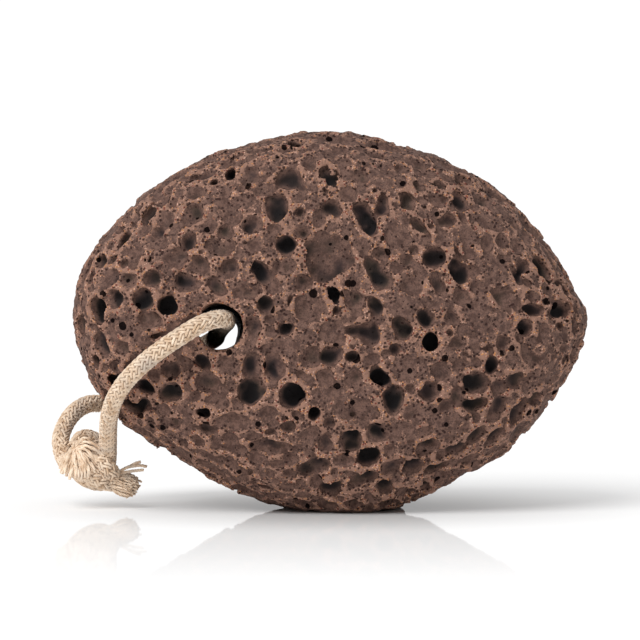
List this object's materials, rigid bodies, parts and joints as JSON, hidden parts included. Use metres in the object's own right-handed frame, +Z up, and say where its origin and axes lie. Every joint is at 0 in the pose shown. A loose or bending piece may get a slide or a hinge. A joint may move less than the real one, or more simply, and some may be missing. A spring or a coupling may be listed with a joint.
{
  "type": "pumice stone",
  "caption": "Egg-shaped vesicular lava foot stone standing on its long edge, drilled near one end for a looped, knotted braided cotton cord with frayed ends.",
  "frame": {"origin": "middle of the stone's footprint on the surface it stands on, cord left out", "axes": "+X along the stone, away from the drilled end; +Y through its thickness, away from the broad front face; +Z up"},
  "size_m": [0.0989, 0.0522, 0.0696],
  "materials": {
    "lava_stone": "matt, open vesicles, ridges rubbed paler",
    "cotton_cord": "undyed cotton braid with frayed ends"
  },
  "bodies": {
    "root": {"pumice_stone": "lava_stone", "cord": "cotton_cord", "cord_knot": "cotton_cord", "frayed_end_left": "cotton_cord", "frayed_end_right": "cotton_cord"}
  },
  "joints": []
}
